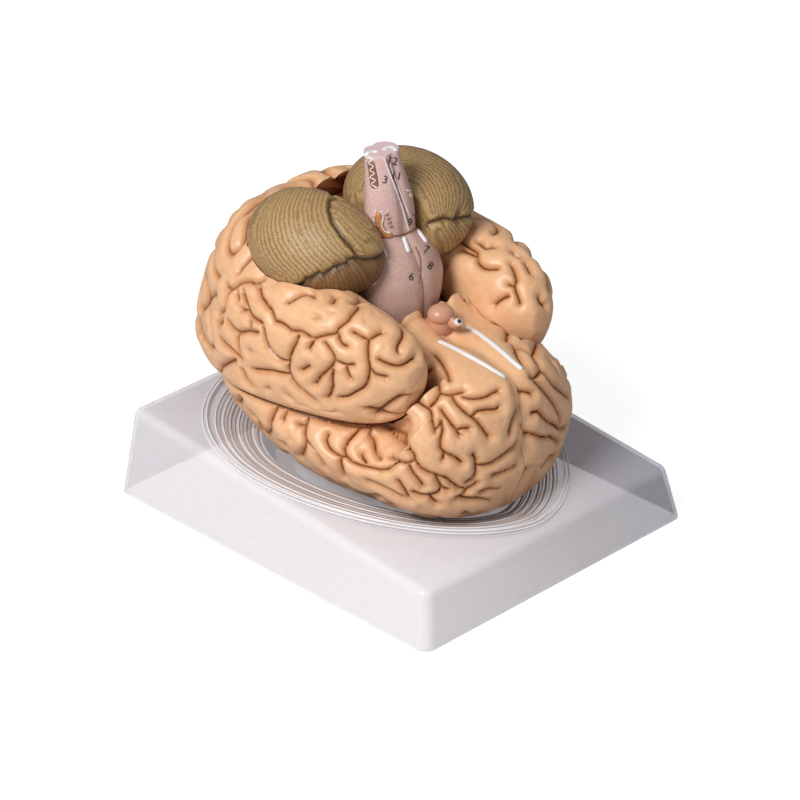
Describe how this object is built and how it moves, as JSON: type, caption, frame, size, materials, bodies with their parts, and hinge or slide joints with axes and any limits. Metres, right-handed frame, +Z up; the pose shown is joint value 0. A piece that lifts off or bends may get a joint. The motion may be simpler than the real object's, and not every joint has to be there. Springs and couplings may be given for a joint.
{
  "type": "brain anatomy model",
  "caption": "Life-size dissectible human brain model standing base up in the stepped egg-shaped well of a clear wedge tray; temporal and cerebellar pieces pull off locating pins.",
  "frame": {"origin": "centre of the tray's footprint, on the table", "axes": "+Z up, the way the brain's base faces; -Y towards the frontal pole; +X the brain's own right side"},
  "size_m": [0.1606, 0.1937, 0.169],
  "materials": {
    "cortex": "satin",
    "cerebellum": "satin",
    "brainstem": "satin",
    "pin": "satin",
    "clear_tray": "gloss"
  },
  "bodies": {
    "base": {"display_tray": "clear_tray", "left_frontal_parietal": "cortex", "right_frontal_parietal": "cortex", "left_brainstem": "brainstem", "right_brainstem": "brainstem", "brainstem_pins": "pin", "hemisphere_pins": "pin", "left_temporal_pins": "pin", "right_temporal_pins": "pin", "left_cerebellum_pin": "pin", "right_cerebellum_pin": "pin"},
    "left_temporal_occipital": {"left_temporal_occipital": "cortex"},
    "right_temporal_occipital": {"right_temporal_occipital": "cortex"},
    "left_cerebellum": {"left_cerebellum": "cerebellum"},
    "right_cerebellum": {"right_cerebellum": "cerebellum"}
  },
  "joints": [
    {"name": "left_temporal_occipital_pull", "type": "slide", "parent": "base", "child": "left_temporal_occipital", "axis": [-1, 0, 0], "range_m": [0, 0.024]},
    {"name": "right_temporal_occipital_pull", "type": "slide", "parent": "base", "child": "right_temporal_occipital", "axis": [1, 0, 0], "range_m": [0, 0.024]},
    {"name": "left_cerebellum_pull", "type": "slide", "parent": "base", "child": "left_cerebellum", "axis": [0, 0, 1], "range_m": [0, 0.024]},
    {"name": "right_cerebellum_pull", "type": "slide", "parent": "base", "child": "right_cerebellum", "axis": [0, 0, 1], "range_m": [0, 0.024]}
  ]
}
